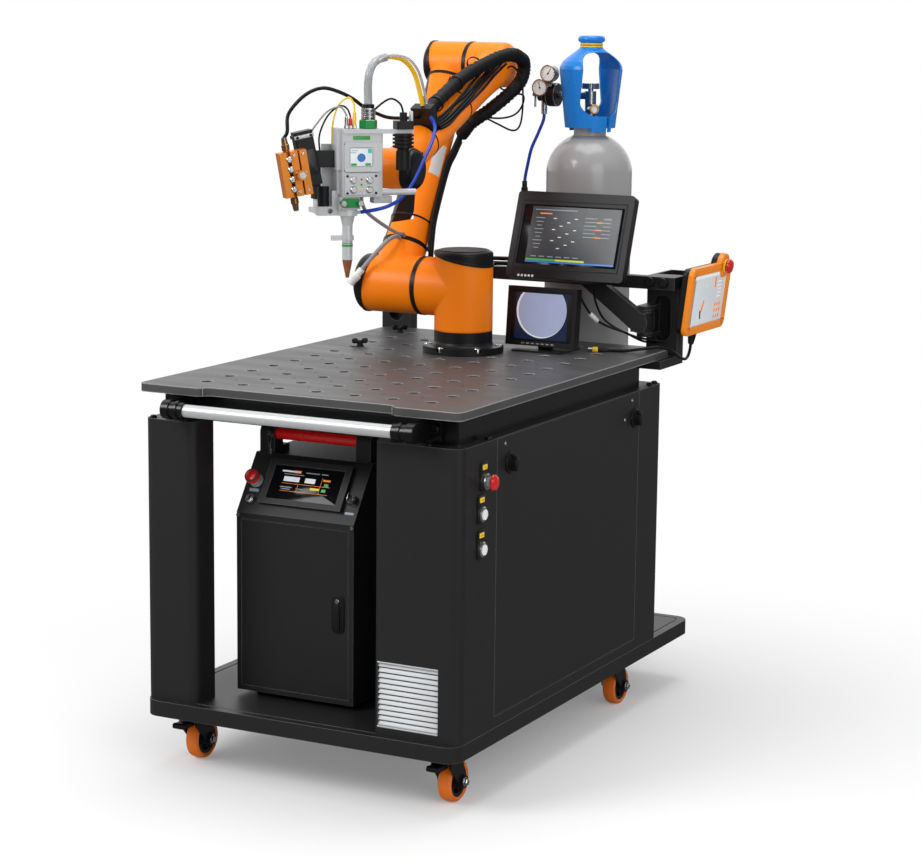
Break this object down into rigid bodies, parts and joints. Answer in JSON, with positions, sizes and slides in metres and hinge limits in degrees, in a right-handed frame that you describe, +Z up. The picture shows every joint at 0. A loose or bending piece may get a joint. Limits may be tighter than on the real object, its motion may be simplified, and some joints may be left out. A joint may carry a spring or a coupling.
{
  "type": "robot arm on a mobile welding cart",
  "caption": "Orange jointed robot arm with a laser welding head on a black wheeled welding table, with its laser unit, gas bottle, monitors and teach pendant.",
  "frame": {"origin": "on the floor, under the middle of the table top", "axes": "+Z up, front of the cart towards -Y, +X to the right seen from the front"},
  "size_m": [0.9742, 1.4969, 1.736],
  "materials": {
    "black_rubber": "matte",
    "blue_hose": "satin",
    "black_paint": "satin",
    "table_black": "satin",
    "silver_paint": "satin",
    "bare_aluminium": "brushed",
    "black_plastic": "matte",
    "red_paint": "gloss",
    "bottle_grey": "satin",
    "blue_plastic": "gloss",
    "bright_steel": "polished",
    "pendant_orange": "satin",
    "arm_orange": "satin",
    "orange_anodised": "satin",
    "green_anodised": "satin",
    "copper": "satin",
    "caster_black": "satin",
    "orange_tyre": "satin"
  },
  "bodies": {
    "cart": {"deck": "black_paint", "left_columns": "black_paint", "cabinet": "black_paint", "service_panel": "black_paint", "vent_grille": "silver_paint", "control_buttons": "black_plastic", "panel_latches": "black_plastic", "table_frame": "black_paint", "table_top": "table_black", "push_bar": "bare_aluminium", "push_bar_brackets": "black_paint", "rear_frame": "black_paint", "bottle_tray": "black_paint", "unit_shell": "black_paint", "unit_console": "black_paint", "unit_handle": "red_paint", "gas_bottle": "bottle_grey", "bottle_guard": "blue_plastic", "gas_regulator": "bright_steel", "small_monitor": "black_plastic", "pendant_holder": "black_plastic", "pendant": "pendant_orange", "base_flange": "black_paint", "base_cables": "black_rubber", "gas_hose": "blue_hose", "pendant_cable": "black_rubber"},
    "unit_door_body": {"unit_door": "black_paint"},
    "monitor_arm_body": {"monitor_arm": "black_plastic"},
    "monitor_body": {"monitor": "black_plastic"},
    "swivel_fl": {"caster_fork_fl": "caster_black"},
    "roller_fl": {"caster_wheel_fl": "orange_tyre"},
    "swivel_fr": {"caster_fork_fr": "caster_black"},
    "roller_fr": {"caster_wheel_fr": "orange_tyre"},
    "swivel_rl": {"caster_fork_rl": "caster_black"},
    "roller_rl": {"caster_wheel_rl": "orange_tyre"},
    "swivel_rr": {"caster_fork_rr": "caster_black"},
    "roller_rr": {"caster_wheel_rr": "orange_tyre"},
    "shoulder_body": {"shoulder": "arm_orange", "shoulder_trim": "black_plastic"},
    "upper_arm_body": {"upper_arm": "arm_orange", "upper_arm_trim": "black_plastic", "arm_cables": "black_rubber"},
    "forearm_body": {"forearm": "arm_orange", "forearm_trim": "black_plastic", "forearm_sleeve": "black_rubber"},
    "wrist_1_body": {"wrist_1": "arm_orange", "wrist_1_cap": "black_plastic"},
    "wrist_2_body": {"wrist_2": "arm_orange", "wrist_2_cap": "black_plastic"},
    "tool": {"tool_flange": "bare_aluminium", "head_body": "silver_paint", "head_panel": "silver_paint", "fibre_collimator": "bright_steel", "lens_drawer": "green_anodised", "nozzle": "bright_steel", "nozzle_tip": "copper", "wire_clamp": "orange_anodised", "feeder_motor": "black_plastic", "vision_camera": "black_plastic", "head_hoses": "black_rubber"}
  },
  "joints": [
    {"name": "base_turn", "type": "hinge", "parent": "cart", "child": "shoulder_body", "pos_m": [-0.015, 0.264, 0.991], "axis": [0, 0, 1], "range_deg": [-10, 105], "deforming": ["base_cables"]},
    {"name": "shoulder_tilt", "type": "hinge", "parent": "shoulder_body", "child": "upper_arm_body", "pos_m": [-0.015, 0.264, 1.098], "axis": [1, 0, 0], "range_deg": [-2, 25], "deforming": ["base_cables", "arm_cables"]},
    {"name": "elbow_tilt", "type": "hinge", "parent": "upper_arm_body", "child": "forearm_body", "pos_m": [-0.015, 0.57428, 1.65776], "axis": [-1, 0, 0], "range_deg": [-10, 90], "deforming": ["arm_cables", "head_hoses"]},
    {"name": "wrist_tilt", "type": "hinge", "parent": "forearm_body", "child": "wrist_1_body", "pos_m": [-0.015, 0.02615, 1.41372], "axis": [1, 0, 0], "range_deg": [-70, 60], "deforming": ["head_hoses"]},
    {"name": "wrist_roll", "type": "hinge", "parent": "wrist_1_body", "child": "wrist_2_body", "pos_m": [-0.216, 0.02615, 1.41372], "axis": [0, -1, 0], "range_deg": [-60, 60], "deforming": ["head_hoses"]},
    {"name": "tool_turn", "type": "hinge", "parent": "wrist_2_body", "child": "tool", "pos_m": [-0.216, -0.07585, 1.41372], "axis": [0, 0, -1], "range_deg": [-5, 110], "deforming": ["head_hoses"]},
    {"name": "unit_door_hinge", "type": "hinge", "parent": "cart", "child": "unit_door_body", "pos_m": [-0.2315, -0.4455, 0.4], "axis": [0, 0, -1], "range_deg": [0, 100]},
    {"name": "monitor_swing", "type": "hinge", "parent": "cart", "child": "monitor_arm_body", "pos_m": [0.372, 0.54, 1.01], "axis": [0, 0, 1], "range_deg": [0, 40]},
    {"name": "monitor_tilt", "type": "hinge", "parent": "monitor_arm_body", "child": "monitor_body", "pos_m": [0.19, 0.53544, 1.19982], "axis": [1, 0, 0], "range_deg": [-10, 3]},
    {"name": "swivel_turn_fl", "type": "hinge", "parent": "cart", "child": "swivel_fl", "pos_m": [-0.345, -0.496, 0.126], "axis": [0, 0, 1], "continuous": true},
    {"name": "wheel_roll_fl", "type": "hinge", "parent": "swivel_fl", "child": "roller_fl", "pos_m": [-0.345, -0.463, 0.05], "axis": [1, 0, 0], "continuous": true},
    {"name": "swivel_turn_fr", "type": "hinge", "parent": "cart", "child": "swivel_fr", "pos_m": [0.345, -0.496, 0.126], "axis": [0, 0, 1], "continuous": true},
    {"name": "wheel_roll_fr", "type": "hinge", "parent": "swivel_fr", "child": "roller_fr", "pos_m": [0.345, -0.463, 0.05], "axis": [1, 0, 0], "continuous": true},
    {"name": "swivel_turn_rl", "type": "hinge", "parent": "cart", "child": "swivel_rl", "pos_m": [-0.345, 0.432, 0.126], "axis": [0, 0, 1], "continuous": true},
    {"name": "wheel_roll_rl", "type": "hinge", "parent": "swivel_rl", "child": "roller_rl", "pos_m": [-0.345, 0.465, 0.05], "axis": [1, 0, 0], "continuous": true},
    {"name": "swivel_turn_rr", "type": "hinge", "parent": "cart", "child": "swivel_rr", "pos_m": [0.345, 0.432, 0.126], "axis": [0, 0, 1], "continuous": true},
    {"name": "wheel_roll_rr", "type": "hinge", "parent": "swivel_rr", "child": "roller_rr", "pos_m": [0.345, 0.465, 0.05], "axis": [1, 0, 0], "continuous": true}
  ]
}
